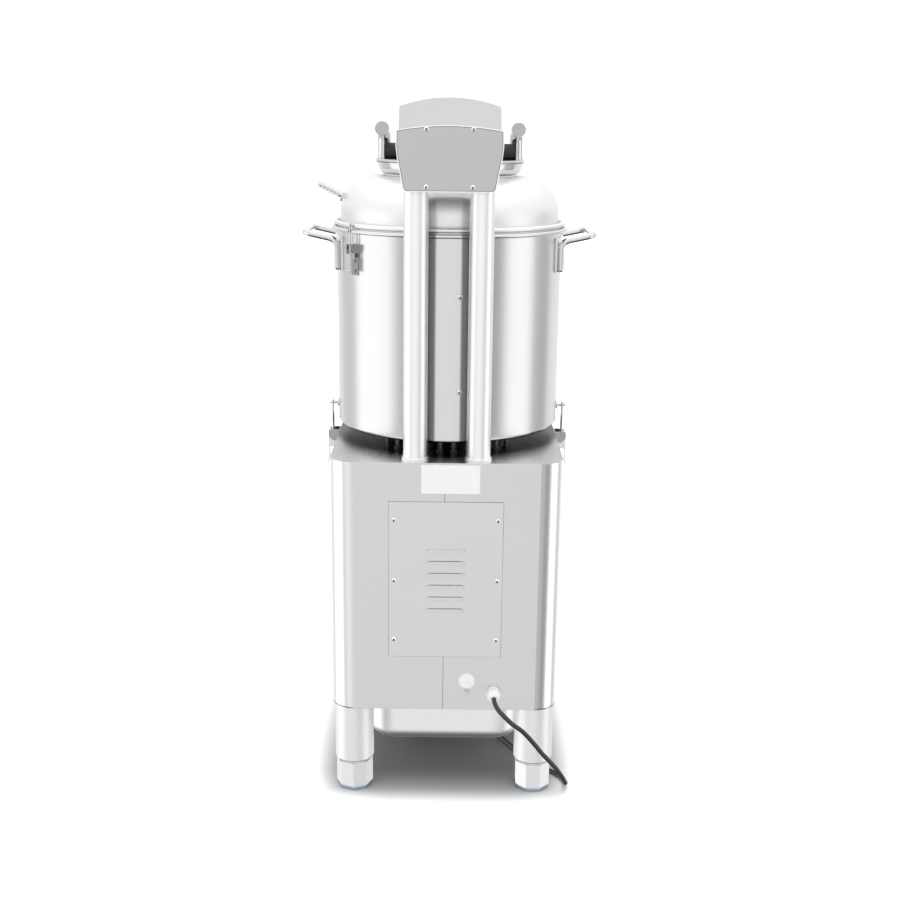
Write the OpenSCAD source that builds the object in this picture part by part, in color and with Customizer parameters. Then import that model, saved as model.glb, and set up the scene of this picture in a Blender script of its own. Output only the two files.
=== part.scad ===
// Electric potato peeler, floor standing.
// A sheet steel base cabinet on four adjustable legs holds the motor and the belt drive.
// An abrasive lined drum stands on it, with a clamped dome lid, a hinged feed hatch and a
// front discharge door. Two posts behind the drum carry the control head.
// Millimetres. +Z up, front at -Y, origin on the floor under the middle of the machine.

/* [Cabinet] */
// Width of the base cabinet, side to side
cab_w = 370; // [366:1:372]
// Depth of the base cabinet, front to rear
cab_d = 430; // [428:1:440]
// Height of the base cabinet without its legs
cab_h = 418; // [410:1:425]
// Radius of the cabinet's upright corners
cab_r = 37; // [25:1:45]
// Clear height of the cabinet above the floor
leg_h = 155; // [150:1:165]
// Thickness of the cabinet's sheet
sheet = 2; // [1.5:0.1:2.2]

/* [Legs] */
// Outside diameter of the leg sleeves
sleeve_d = 64; // [60:0.5:64]
// Width across the flats of the octagonal feet
foot_af = 56; // [50:0.5:58]

/* [Drum] */
// Outside radius of the drum
drum_r = 187; // [186.5:0.1:187.2]
// Gap between the cabinet top and the drum
drum_gap = 19; // [17:0.5:21]
// Thickness of the drum's sheet
drum_t = 1.5; // [1.2:0.1:1.8]
// Thickness of the abrasive lining
grit_t = 3; // [2:0.1:4]
// Radius of the abrasive turntable
disc_r = 179; // [170:0.5:180]

/* [Lid] */
// Radius where the dome turns over into its flat crown
knuckle_r = 60; // [50:1:62]
// Radius of the hinged feed hatch
hatch_r = 122.5; // [120:0.5:123]
// Diameter of the black grip bar on the hatch
grip_d = 25.6; // [24:0.2:26]
// Diameter of the chrome tubes on the hatch
arm_d = 21.5; // [18:0.5:22]

/* [Control head] */
// Diameter of the two rear posts
post_d = 38; // [30:0.5:38]
// Distance between the two rear posts
post_gap = 99.6; // [98:0.2:101]
// Diameter of the timer knob
knob_d = 40; // [34:1:44]
// Diameter of the push buttons
button_d = 22; // [18:0.5:24]

/* [Cord] */
// Diameter of the mains lead
cord_d = 7.5; // [7:0.1:8]

/* [Hidden] */
$fn = 64;
frame_y = 8.42;                       // shifts the drum axis so that the origin is central
zb = leg_h;                          // bottom of the cabinet
zt = zb + cab_h;                     // top of the cabinet
yr = 236;                            // rear face of the cabinet
cab_y = yr - cab_d / 2;              // middle of the cabinet
zd = zt + drum_gap;                  // bottom of the drum
zr = zt + 349;                       // rim of the drum
zk = zt + 370;                       // start of the dome's knuckle
zc = zk + knuckle_r;                 // top of the dome's crown
zf = zc + 21;                        // top of the feed funnel's flange
zh = zf + 5;                         // top of the hatch
gy = 163;                            // radius of the drum stand-offs' circle
panel_w = 181;
panel_h = 261.5;
panel_z = zt - 194;
gland = [-80.5, yr, 184];
drain = [92, -72];
pulley_z = 402;
motor_y = 140;
post_y = 210;
head_y = 239;                        // rear face of the control head
chute = [62, 640, 770];              // half width, bottom and top of the discharge opening
hinge_x = 82;                        // door hinge
pan = [260, 274, 50, 55, 95];        // width, depth, corner radius, underside, height
pan_y = 20;
pan_rb = 22;                         // rounding of the pan's lower edge
latch_e = 7;                         // throw of the toggle latches
clip_a = -53;                        // direction of the first lid clip, from the rear
tilt = 10.1;                         // backward lean of the control face

// ---------------------------------------------------------------- shared shapes
module place() translate([0, frame_y, 0]) children();

module rrect(w, d, r) {
    square([w - 2 * r, d], center = true);
    square([w, d - 2 * r], center = true);
    for (x = [-1, 1], y = [-1, 1]) translate([x * (w / 2 - r), y * (d / 2 - r)]) circle(r);
}

module ring(ro, ri, z0, z1) translate([0, 0, z0]) difference() {
    cylinder(r = ro, h = z1 - z0);
    translate([0, 0, -1]) cylinder(r = ri, h = z1 - z0 + 2);
}

// a round bar from one point to another
module bar(a, b, r, ends = 0) {
    v = b - a;
    l = norm(v);
    translate(a) rotate([0, acos(v[2] / l), atan2(v[1], v[0])]) cylinder(r = r, h = l);
    if (ends) for (p = [a, b]) translate(p) sphere(r);
}

// places a piece that is drawn facing +Y at an angle round the drum
module around(a) rotate([0, 0, a]) children();

// a pan head screw on a face that looks along +Y
module pan_screw(d = 6.6, h = 2.2) rotate([-90, 0, 0]) difference() {
    rotate_extrude() intersection() {
        translate([0, -d * 0.62 + h]) circle(d * 0.62);
        square([d / 2, h]);
    }
    for (a = [0, 90]) rotate([0, 0, a]) translate([-d * 0.28, -0.45, h - 1]) cube([d * 0.56, 0.9, 2]);
}

// ---------------------------------------------------------------- cabinet
module cabinet_shell() color("gainsboro") difference() {
    translate([0, cab_y, zb]) linear_extrude(cab_h) rrect(cab_w, cab_d, cab_r);
    translate([0, cab_y, zb - 1]) linear_extrude(cab_h - sheet + 1)
        rrect(cab_w - 2 * sheet, cab_d - 2 * sheet, cab_r - sheet);
    translate([0, 0, zt - 5]) cylinder(d = 64, h = 10);
    translate([drain[0], drain[1], zt - 5]) cylinder(d = 46, h = 10);
    for (s = [-1, 1]) translate([s * post_gap / 2, post_y, zt - 5]) cylinder(d = 24, h = 10);
    translate([-panel_w / 2 + 12, yr - 10, panel_z - panel_h / 2 + 12])
        cube([panel_w - 24, 20, panel_h - 24]);
    translate(gland) rotate([90, 0, 0]) cylinder(d = 16.4, h = 20, center = true);
    // the sheet's butt joint, down the middle of the rear face
    translate([2, yr - 0.5, zb - 1]) cube([0.7, 2, panel_z - panel_h / 2 - zb + 1]);
    translate([2, yr - 0.5, panel_z + panel_h / 2]) cube([0.7, 2, zt - panel_z - panel_h / 2 - 4]);
}

module base_frame() color("silver") {
    // angle frame inside the foot of the cabinet
    difference() {
        translate([0, cab_y, zb + 4]) linear_extrude(4)
            rrect(cab_w - 2 * sheet, cab_d - 2 * sheet, cab_r - sheet);
        translate([0, pan_y, zb + 3]) linear_extrude(6) square([232, 270], center = true);
    }
    // two runners that the catch pan's rim slides along
    for (s = [-1, 1]) translate([-116, pan_y + s * 144.4 - 1, 146.2]) {
        cube([232, 2, zb + 4 - 146.2]);
        translate([0, s > 0 ? -6 : 1, 0]) cube([232, 7, 2]);
    }
}

leg_pos = [[150, 198], [-150, 198], [150, -156], [-150, -156]];

module legs() color("silver") for (p = leg_pos) translate([p[0], p[1], 0]) {
    difference() {
        ring(sleeve_d / 2, sleeve_d / 2 - 1.5, 53, zb - 3);
        // the sleeve's lower edge turns in over the foot
        translate([0, 0, 52]) difference() {
            cylinder(d = sleeve_d + 2, h = 3);
            translate([0, 0, -1]) cylinder(d1 = sleeve_d - 5, d2 = sleeve_d + 0.5, h = 5);
        }
    }
    ring(sleeve_d / 2 - 1.5, 20.05, 60, 90);
    ring(sleeve_d / 2 - 1.5, 12, zb - 7, zb - 3);
    ring(25, 12, zb - 3, zb + 4);
}

module foot(i, turn) color("gainsboro") translate([leg_pos[i][0], leg_pos[i][1], 0]) {
    // octagonal foot with a tapered sole, and the shank that slides in the sleeve
    rotate([0, 0, turn]) {
        translate([0, 0, 5]) cylinder(r = foot_af / 2 / cos(22.5), h = 44, $fn = 8);
        cylinder(r = foot_af / 2 / cos(22.5) - 4, h = 8, $fn = 8);
    }
    translate([0, 0, 46]) cylinder(r = 26.5, h = 6);
    translate([0, 0, 48]) cylinder(r = 20, h = 72);
}

module service_panel() color("whitesmoke") difference() {
    union() {
        translate([-panel_w / 2, yr, panel_z - panel_h / 2]) cube([panel_w, 1.2, panel_h]);
        for (k = [0:5]) translate([0, yr - 1, louvre_z(k)]) intersection() {
            union() {
                rotate([0, 90, 0]) cylinder(r = 6, h = 52, center = true);
                for (s = [-1, 1]) translate([s * 26, 0, 0]) sphere(r = 6);
            }
            translate([-40, 1, 0]) cube([80, 10, 10]);
        }
    }
    for (k = [0:5]) translate([0, yr - 1, louvre_z(k)]) {
        intersection() {
            union() {
                rotate([0, 90, 0]) cylinder(r = 4.8, h = 52, center = true);
                for (s = [-1, 1]) translate([s * 26, 0, 0]) sphere(r = 4.8);
            }
            translate([-40, -5, -0.1]) cube([80, 20, 10]);
        }
    }
    for (x = [-1, 1], k = [-1:1]) translate([x * 82.5, yr, panel_z + k * 101])
        rotate([90, 0, 0]) cylinder(d = 3.2, h = 10, center = true);
}
function louvre_z(k) = zt - 146 - 20.1 * k;

module cover_screws() color("white") {
    for (x = [-1, 1], k = [-1:1]) translate([x * 82.5, yr + 1.2, panel_z + k * 101]) pan_screw();
    for (x = [-1, 1], z = [zt + 422, zt + 505]) translate([x * 34.5, head_y + 1.5, z]) pan_screw(7);
}

module blank_plates() color("white") {
    translate([-53, yr, zt - 49.5]) cube([92.5, 0.6, 46.5]);
    translate([-36.4, yr, zt - 367.5]) rotate([-90, 0, 0]) cylinder(d = 26.4, h = 0.6);
}

module earth_stud() color("silver") translate([-36.5, yr, zt - 387]) rotate([-90, 0, 0]) {
    cylinder(d = 11, h = 1);
    translate([0, 0, 1]) cylinder(r = 4.6, h = 3.2, $fn = 6);
    translate([0, 0, 4.2]) cylinder(d = 5, h = 3);
}

module cable_gland() color("white") translate(gland) rotate([-90, 0, 0]) difference() {
    union() {
        cylinder(r = 13, h = 5, $fn = 6);
        translate([0, 0, 5]) cylinder(r = 11, h = 9);
        translate([0, 0, 14]) cylinder(r1 = 11, r2 = 7, h = 8);
        translate([0, 0, -10]) cylinder(r = 8, h = 10);
        translate([0, 0, -7]) cylinder(r = 12, h = 5, $fn = 6);
    }
    translate([0, 0, -11]) cylinder(d = cord_d + 0.1, h = 40);
}

// half profile of the pan: a wall, a rounded lower corner and the floor, out to radius w
module pan_wall(w) {
    rb = pan_rb; t = 1.2;
    translate([w - t, rb]) square([t, pan[4] - rb]);
    translate([w - rb, rb]) intersection() {
        difference() { circle(rb); circle(rb - t); }
        translate([0, -rb]) square(rb);
    }
}
module catch_pan() color("whitesmoke") translate([0, pan_y, pan[3]]) {
    w = pan[0]; d = pan[1]; r = pan[2];
    for (q = [0:3]) rotate([0, 0, 90 * q]) {
        a = q % 2 == 0 ? w / 2 : d / 2;
        b = q % 2 == 0 ? d / 2 : w / 2;
        translate([a - r, b - r, 0]) rotate_extrude(angle = 90) pan_wall(r);
        translate([a - r, b - r, 0]) rotate([90, 0, 0]) linear_extrude(2 * (b - r)) pan_wall(r);
    }
    linear_extrude(1.2) rrect(w - 2 * pan_rb, d - 2 * pan_rb, r - pan_rb);
    // rolled rim
    translate([0, 0, pan[4] - 1.5]) linear_extrude(1.5) difference() {
        rrect(w + 6, d + 12, r + 3);
        rrect(w - 2, d - 2, r - 1);
    }
}

// ---------------------------------------------------------------- drive
module motor() color("slategray") translate([0, motor_y, 0]) {
    translate([0, 0, 226]) cylinder(d = 128, h = 150);
    translate([0, 0, 196]) cylinder(d = 136, h = 30);
    translate([0, 0, 376]) difference() { cylinder(d = 136, h = 10); translate([0, 0, -1]) cylinder(d = 16, h = 12); }
    for (k = [0:11]) rotate([0, 0, 30 * k + 15]) translate([62, -1.5, 232]) cube([7, 3, 138]);
    translate([60, -28, 270]) cube([34, 56, 70]);
}
module motor_plate() color("silver") difference() {
    intersection() {
        translate([0, cab_y, 386]) linear_extrude(5) rrect(cab_w - 2 * sheet, cab_d - 2 * sheet, cab_r - sheet);
        translate([-300, 66, 380]) cube([600, 300, 20]);
    }
    translate([0, motor_y, 380]) cylinder(d = 50, h = 20);
}
module motor_rotor() color("dimgray") translate([0, motor_y, 0]) {
    translate([0, 0, 378]) cylinder(r = 7, h = 46);
    translate([0, 0, pulley_z]) pulley(30, 26);
}
module pulley(ro, rb) {
    ring(ro, 6, 0, 2);
    ring(rb, 6, 2, 16);
    ring(ro, 6, 16, 18);
}
module belt_path(r1, r2, l) {
    c = (r1 - r2) / l;
    s = sqrt(1 - c * c);
    circle(r1);
    translate([0, l]) circle(r2);
    polygon([[-r1 * s, r1 * c], [r1 * s, r1 * c], [r2 * s, l + r2 * c], [-r2 * s, l + r2 * c]]);
}
module drive_belt() color("black") translate([0, 0, pulley_z + 3]) linear_extrude(12) difference() {
    belt_path(91, 31.3, motor_y);
    belt_path(86.3, 26.3, motor_y);
}
module drive_shaft() color("silver") {
    translate([0, 0, 396]) cylinder(r = 12.5, h = 248);
}
module drive_pulley() color("dimgray") translate([0, 0, pulley_z]) {
    ring(90, 78, 0, 2);
    ring(86, 78, 2, 16);
    ring(90, 78, 16, 18);
    ring(25, 12.5, 0, 24);
    difference() {
        ring(78, 25, 5, 12);
        for (k = [0:4]) rotate([0, 0, 72 * k]) translate([52, 0, 0]) cylinder(r = 17, h = 20);
    }
}
module bearing_housing() color("silver") {
    ring(60, 26, zt - 10, zt - sheet);
    ring(31, 26, 440, zt - 10);
    ring(31, 26, zt - sheet, zd);
    ring(26, 20, zd - 6, zd);
}
module bearings() color("silver") for (z = [446, 555]) ring(26, 12.55, z, z + 15);
module drain_pipe() color("silver") translate([drain[0], drain[1], 0]) {
    ring(21, 19.5, 152, zd);
    ring(26, 21, zt - sheet - 4, zt - sheet);
}

// ---------------------------------------------------------------- drum
module drum_shell() color("gainsboro") difference() {
    rotate_extrude($fn = 180) {
        translate([drum_r - drum_t, zd + 6]) square([drum_t, zr - zd - 6]);
        translate([drum_r - 6, zd + 6]) intersection() {
            difference() { circle(6); circle(6 - drum_t); }
            translate([0, -6]) square(6);
        }
        translate([16, zd]) square([drum_r - 22, drum_t]);
        // flanged rim with a rolled edge
        translate([drum_r - drum_t, zr - 1.5]) square([7.6, 1.5]);
        translate([drum_r + 6.1, zr - 3.3]) circle(3.3);
    }
    // gaps in the rolled edge for the loops of the lid clips
    for (s = [0, 180]) around(clip_a + s) translate([-6.5, drum_r + 2.5, zr - 10]) cube([13, 12, 16]);
    translate([0, 0, zr - 30]) cylinder(r = drum_r - drum_t, h = 60);
    translate([-chute[0], -drum_r - 10, chute[1]]) cube([2 * chute[0], 100, chute[2] - chute[1]]);
    translate([drain[0], drain[1], zd - 5]) cylinder(d = 38, h = 12);
    for (b = liner_bolt_pos) rotate([0, 0, b[0]]) translate([0, drum_r, b[1]]) rotate([90, 0, 0]) cylinder(d = 5, h = 30, center = true);
}
// direction from the rear and height of each lining bolt
liner_bolt_pos = [[5.5, 826], [5.5, 676], [125, 826], [125, 676], [-125, 826], [-125, 676]];

module liner_bolts() color("silver") for (b = liner_bolt_pos) rotate([0, 0, b[0]]) translate([0, drum_r, b[1]])
    rotate([-90, 0, 0]) {
        translate([0, 0, -7]) cylinder(d = 4.8, h = 9);
        rotate_extrude() intersection() {
            translate([0, -1.2]) circle(5);
            square([4.2, 5]);
        }
    }

module drum_standoffs() color("silver") for (a = [0, 33, -33, 180, 147, -147], s = [-1, 1])
    rotate([0, 0, a]) translate([s * 10.5, gy, zt]) {
        cylinder(d = 9, h = drum_gap);
        cylinder(d = 14, h = 3);
    }

module grit_liner() color("darkslategray") difference() {
    ring(drum_r - drum_t - 0.05, drum_r - drum_t - grit_t, 632, 898);
    translate([-chute[0] - 1, -300, chute[1] - 1]) cube([2 * chute[0] + 2, 200, chute[2] - chute[1] + 2]);
    for (b = liner_bolt_pos) rotate([0, 0, b[0]]) translate([0, drum_r, b[1]]) rotate([90, 0, 0]) cylinder(d = 5, h = 30, center = true);
}

module peeling_disc() color("dimgray") {
    ring(disc_r, 12.5, 616, 623);
    // grit layer with three low waves that toss the potatoes
    difference() {
        translate([0, 0, 623]) cylinder(r = disc_r - 1, h = 5);
        translate([0, 0, 620]) cylinder(r = 12.5, h = 20);
    }
    for (k = [0:2]) rotate([0, 0, 120 * k]) intersection() {
        translate([105, 0, 628 - 34]) rotate([0, 90, 0]) cylinder(r = 46, h = 126, center = true);
        translate([42, -60, 628]) cube([126, 120, 14]);
        cylinder(r = disc_r - 3, h = 700);
    }
    ring(34, 12.5, 600, 616);
    translate([0, 0, 644]) cylinder(r = 20, h = 5);
    ring(20, 12.5, 628, 644);
    // paddles that sweep the peel to the drain
    for (k = [0:3]) rotate([0, 0, 90 * k]) translate([30, -2, 600]) cube([142, 4, 17]);
}

module drum_handle() color("silver") around(90) {
    // curved pad riveted to the drum
    intersection() {
        ring(drum_r + 2.5, drum_r, 852, 908);
        translate([-72, 100, 850]) cube([144, 150, 60]);
    }
    for (s = [-1, 1]) {
        translate([s * 62, drum_r - 4.4, 857]) cylinder(r = 5.5, h = 31);
        translate([s * 62, drum_r - 4.4, 857]) sphere(r = 5.5);
        // elbow from the upright root to the outward leg
        translate([s * 62, drum_r - 4.4 + 16, 888]) rotate([90, 0, 90])
            rotate_extrude(angle = -78) translate([-16, 0]) circle(5.5);
    }
    translate([0, drum_r - 4.4 + 16, 888]) rotate([12, 0, 0]) translate([0, 0, 16]) {
        for (s = [-1, 1]) {
            translate([s * 62, -2, 0]) rotate([-90, 0, 0]) cylinder(r = 5.3, h = 29.1);
            translate([s * 48, 27.1, 0]) rotate([0, 0, s > 0 ? 0 : 90]) rotate_extrude(angle = 90)
                translate([14, 0]) circle(5.3);
        }
        translate([-48, 41.1, 0]) rotate([0, 90, 0]) cylinder(r = 5.3, h = 96);
    }
}

// ---------------------------------------------------------------- discharge door
module chute_frame() color("silver") {
    difference() {
        translate([-chute[0] - 10, -213, chute[1] - 10]) cube([2 * chute[0] + 20, 60, chute[2] - chute[1] + 20]);
        translate([-chute[0], -300, chute[1]]) cube([2 * chute[0], 200, chute[2] - chute[1]]);
        cylinder(r = drum_r, h = 900, $fn = 180);
    }
    // hinge knuckles and pin
    for (z = [655, 735]) translate([hinge_x, -216, z]) {
        cylinder(r = 5, h = 18);
        translate([-10, 3, 0]) cube([8, 4, 18]);
    }
    translate([hinge_x, -216, 650]) cylinder(r = 3, h = 110);
    for (z = [648, 760]) translate([hinge_x, -216, z]) cylinder(r = 4.6, h = 2);
    // lip that throws the potatoes clear of the cabinet
    translate([-chute[0] - 6, -196, 633]) rotate([14, 0, 0]) translate([0, -66, -10]) difference() {
        cube([2 * chute[0] + 12, 66, 10]);
        translate([2, -1, 2]) cube([2 * chute[0] + 8, 70, 10]);
    }
}
module door_seal() color("black") difference() {
    translate([-chute[0] - 8, -215, chute[1] - 8]) cube([2 * chute[0] + 16, 1.9, chute[2] - chute[1] + 16]);
    translate([-chute[0], -220, chute[1]]) cube([2 * chute[0], 10, chute[2] - chute[1]]);
}
module door() color("gainsboro") difference() {
    union() {
        translate([0, -215, (chute[1] + chute[2]) / 2]) rotate([90, 0, 0]) linear_extrude(2.5)
            rrect(2 * chute[0] + 22, chute[2] - chute[1] + 22, 8);
        translate([hinge_x, -216, 674]) cylinder(r = 5, h = 60);
        translate([hinge_x - 12, -217.5, 674]) cube([12, 2.5, 60]);
    }
    translate([hinge_x, -216, 600]) cylinder(r = 3.05, h = 200);
}
module door_handle() color("silver") {
    for (z = [680, 730]) translate([-44, -217.5, z]) rotate([90, 0, 0]) {
        cylinder(r = 9, h = 3);
        cylinder(r = 5, h = 30);
        translate([0, 0, 30]) sphere(r = 5);
    }
    translate([-44, -247.5, 680]) cylinder(r = 5, h = 50);
}

// ---------------------------------------------------------------- toggle latches
// drawn for a latch that faces +Y: y is the distance out, p the lever's pivot.
// c makes every part of it narrower on each side, and k scales its reach.
module latch_base(y0, p, c = 0, k = 1) {
    for (s = [-1, 1]) {
        translate([s * (13.5 - c) - 1, p[0], p[1]]) rotate([90, 0, 90]) linear_extrude(2) polygon([
            [y0 + 1 - p[0], -13 * k], [-2, -13 * k], [4 * k, -7], [6 * k, -2], [6 * k, 2.5], [4 * k, 5 * k],
            [1, 6 * k], [y0 + 1 - p[0], 6 * k]]);
        translate([s > 0 ? 9.8 - c : -13.5 + c, p[0], p[1]]) rotate([0, 90, 0]) cylinder(r = 2.5, h = 3.7);
    }
    translate([-14.5 + c, y0, p[1] - 6 * k - 40]) cube([29 - 2 * c, 2, 40 + 12 * k]);
    for (z = [-38, -22]) translate([0, y0 + 1, p[1] + z]) rotate([-90, 0, 0]) cylinder(r = 3, h = 2.4);
}
module latch_lever(p, c = 0, yi = 5.5, yo = 6, zl = 48, rc = 6) difference() {
    union() {
        for (s = [-1, 1]) {
            translate([s * (11 - c) - 1, p[0] - yi, p[1] - zl / 2]) cube([2, yi + yo, zl / 2 + yi + 0.5]);
        }
        translate([-12 + c, p[0] + yo - 1.5, p[1] - zl]) cube([24 - 2 * c, 1.5, 0.75 * zl - 1.2]);
        // curled finger end
        translate([-12 + c, p[0] + yo - 1.5 + rc, p[1] - zl]) rotate([90, 0, 90]) rotate_extrude(angle = 75, $fn = 48)
            translate([-rc, 0]) square([1.5, 24 - 2 * c]);
    }
    for (s = [-1, 1]) {
        translate([s * (11 - c), p[0], p[1]]) rotate([0, 90, 0]) cylinder(r = 2.55, h = 3, center = true);
        translate([s * (11 - c), p[0] - 1.5, p[1] - latch_e]) rotate([0, 90, 0]) cylinder(r = 1.6, h = 3, center = true);
    }
}
// w is the distance of the wire's legs from the middle, r its radius
module latch_loop(p, l, c = 0, w = 7, r = 1.5) {
    y = p[0] - 1.5;
    z = p[1] - latch_e;
    for (s = [-1, 1]) bar([s * w, y, z], [s * w, y, z + l], r);
    bar([-11.9 + c, y, z], [11.9 - c, y, z], r);
    bar([-w, y, z + l], [w, y, z + l], r);
    for (s = [-1, 1]) translate([s * w, y, z + l]) sphere(r = r);
}
module clip_lever() color("silver") latch_lever(clip_p, clip_c, 3.6, 4.6, 36, 4);
module clip_loop() color("silver") latch_loop(clip_p, clip_l, clip_c, 3.5, 1.2);
side_p = [199.5, zt - 8];            // pivot of the side levers
side_l = 64;                         // length of their wire loops
clip_p = [196, 894];                 // pivot of the lid clip levers
clip_l = zr + 9.5 - clip_p[1] + latch_e; // length of their wire loops
clip_c = 5;                          // the clips are this much narrower on each side

module latch_bases() color("silver") {
    for (s = [-1, 1]) around(s * 90) latch_base(cab_w / 2, side_p);
    for (s = [0, 180]) around(clip_a + s) difference() {
        latch_base(drum_r - 1, clip_p, clip_c, 0.72);
        cylinder(r = drum_r, h = 1000, $fn = 240);
    }
}
module latch_catches() color("silver") {
    for (s = [-1, 1]) around(s * 90) {
        difference() {
            translate([0, drum_r - 3, side_p[1] - latch_e + side_l - 4.8]) rotate([-90, 0, 0]) union() {
                cylinder(r = 3, h = 19);
                cylinder(r = 7, h = 5.5);
            }
            cylinder(r = drum_r, h = 1000, $fn = 180);
        }
    }
    for (s = [0, 180]) around(clip_a + s) difference() {
        translate([-2, drum_r + 3, clip_p[1] - latch_e + clip_l - 6]) cube([4, 7.5, 4.5]);
        cylinder(r = drum_r + 5.7, h = 1000, $fn = 180);
    }
}

// ---------------------------------------------------------------- lid and feed hatch
module dome_profile(t) {
    translate([181 - t, zr + 1.5]) square([t, zk - zr - 1.5]);
    translate([181 - knuckle_r, zk]) intersection() {
        difference() { circle(knuckle_r); circle(knuckle_r - t); }
        square(knuckle_r + 1);
    }
}
module dome_lid() color("whitesmoke") rotate_extrude($fn = 180) {
    dome_profile(1.5);
    translate([100, zc - 1.5]) square([181 - knuckle_r - 100, 1.5]);
    translate([179.5, zr + 1.5]) square([9, 1.5]);
    translate([drum_r + 1.8, zr + 5.4]) circle(3.9);
    // locating skirt inside the drum's rim
    translate([183.3, zr - 10]) square([1.2, 11.8]);
    translate([184, zr]) square([3, 1.8]);
}
module feed_funnel() color("silver") rotate_extrude($fn = 180) {
    translate([117.5, zc + 16]) square([1.5, 5]);
    translate([104, zc + 16]) intersection() {
        difference() { circle(15); circle(13.5); }
        translate([0, -15]) square(15);
    }
    translate([98.4, zc + 1]) square([5.7, 1.5]);
    translate([98.4, zc - 8]) square([1.5, 9.5]);
    translate([119, zf - 1.5]) square([3, 1.5]);
    translate([105.5, zc]) intersection() { circle(2.8); translate([-5, 0]) square(10); }
}
module hatch_plate() color("silver") difference() {
    union() {
        rotate_extrude($fn = 180) {
            translate([0, zf + 0.2]) square([hatch_r - 2.4, 4.8]);
            translate([hatch_r - 2.4, zf + 2.6]) circle(2.4);
            translate([111, zf - 4]) square([3, 4.4]);
        }
        for (s = [-1, 1]) {
            translate([s > 0 ? 10.6 : -22, 129.5, zf + 2.6]) rotate([0, 90, 0]) cylinder(r = 4.6, h = 11.4);
            translate([s > 0 ? 10.6 : -22, 117, zf + 0.4]) cube([11.4, 12.5, 4.4]);
        }
    }
    translate([-60, 129.5, zf + 2.6]) rotate([0, 90, 0]) cylinder(r = 2.55, h = 120);
}
module hatch_hinge() color("silver") {
    difference() {
        union() {
            translate([-10, 112, zf - 8]) cube([20, 20, 6]);
            translate([-10, 124.5, zf - 4]) cube([20, 9, 7]);
            translate([-10, 129.5, zf + 2.6]) rotate([0, 90, 0]) cylinder(r = 4.6, h = 20);
        }
        cylinder(r = 119, h = 2000, $fn = 180);
        ring(hatch_r + 0.8, 100, zf - 1.8, zf + 20);
    }
    translate([-24, 129.5, zf + 2.6]) rotate([0, 90, 0]) cylinder(r = 2.5, h = 48);
}
arm_x = 108.7;
arm_y = -10;
module hatch_arms() color("silver") for (s = [-1, 1]) translate([s * arm_x, arm_y, zh]) {
    // upright leg, elbow and the stub that points to the rear
    cylinder(r = arm_d / 2, h = 24);
    translate([0, 24, 24]) rotate([90, 0, 90]) rotate_extrude(angle = -90)
        translate([-24, 0]) circle(arm_d / 2);
    translate([0, 24, 48]) rotate([-90, 0, 0]) cylinder(r = arm_d / 2, h = 52);
    cylinder(r = arm_d / 2 + 1.5, h = 2);
}
module arm_plugs() color("darkgray") for (s = [-1, 1]) translate([s * arm_x, arm_y + 76, zh + 48])
    rotate([-90, 0, 0]) cylinder(r = arm_d / 2 + 0.5, h = 4);
module hatch_grip() color("black") translate([0, arm_y + 26.6, zh + grip_d / 2]) {
    rotate([0, 90, 0]) cylinder(d = grip_d, h = 215, center = true);
}
module water_inlet() color("silver") difference() {
    translate([173, 0, zt + 393]) rotate([0, 64, 0]) {
        translate([0, 0, -6]) cylinder(r = 5.2, h = 52);
        translate([0, 0, -6]) cylinder(r = 10, h = 12, $fn = 6);
        for (k = [0:4]) translate([0, 0, 12 + 6.5 * k]) cylinder(r1 = 6.8, r2 = 5.3, h = 5.5);
        translate([0, 0, 45]) cylinder(r1 = 6.2, r2 = 5, h = 4);
    }
    translate([0, 0, 900]) cylinder(r = 181, h = zk - 900, $fn = 180);
    rotate_extrude($fn = 180) {
        translate([181 - knuckle_r, zk]) circle(knuckle_r);
        translate([0, zk]) square([181 - knuckle_r, knuckle_r]);
    }
    translate([173, 0, zt + 393]) rotate([0, 64, 0]) cylinder(r = 3.6, h = 80);
}

// ---------------------------------------------------------------- posts and control head
module posts() color("silver") for (s = [-1, 1]) translate([s * post_gap / 2, post_y, 0]) {
    ring(post_d / 2, post_d / 2 - 1.5, zt, zt + 434);
    ring(post_d / 2 + 2, post_d / 2 - 1.5, zt, zt + 4);
}
// outline of the head from behind, and from the side
module head_face(i, r, z) intersection() {
    polygon([[-66 + i, 414.5 + i], [66 - i, 414.5 + i], [69 - i, 417.5 + i], [77.5 - i, 463], [79.5 - i, 480],
        [79 - i, 500], [75 - i, 536], [75 - i, 580], [-75 + i, 580], [-75 + i, 536], [-79 + i, 500],
        [-79.5 + i, 480], [-77.5 + i, 463], [-69 + i, 417.5 + i]]);
    translate([0, z - r]) circle(r - i, $fn = 180);
}
module head_side(i) polygon([[head_y, 414.5 + i], [head_y, 512 - i], [214 - i / 2, 552 - i], [197 + i, 552 - i],
    [175 + i, 428], [175 + i, 414.5 + i]]);
module head_solid(i, back) intersection() {
    translate([0, 400, zt]) rotate([90, 0, 0]) linear_extrude(400) head_face(i, 222.8, 550);
    translate([-100, 0, zt]) rotate([90, 0, 90]) linear_extrude(200) head_side(i);
    // the crowned top, a large cylinder that leans forward with the rear slope
    translate([0, head_y, zt + 510.5 - i]) rotate([32.3, 0, 0]) translate([0, -780, -300]) cylinder(r = 780, h = 600, $fn = 180);
}
module head_housing() color("lightgray") difference() {
    head_solid(0);
    head_solid(1.5);
    for (s = [-1, 1]) translate([s * post_gap / 2, post_y, zt + 400]) cylinder(d = post_d, h = 32);
    on_face() for (q = control_pos) translate([q[0], q[1], -6]) cylinder(d = q[2], h = 12);
}
module head_cover() color("darkgray")
    translate([0, head_y + 1.5, zt]) rotate([90, 0, 0]) linear_extrude(1.5) head_face(2.2, 420, 510.5);
// the control face leans back, its outward normal is the local z
module on_face() translate([0, 186, zt + 488]) rotate([90 - tilt, 0, 0]) children();
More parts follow.
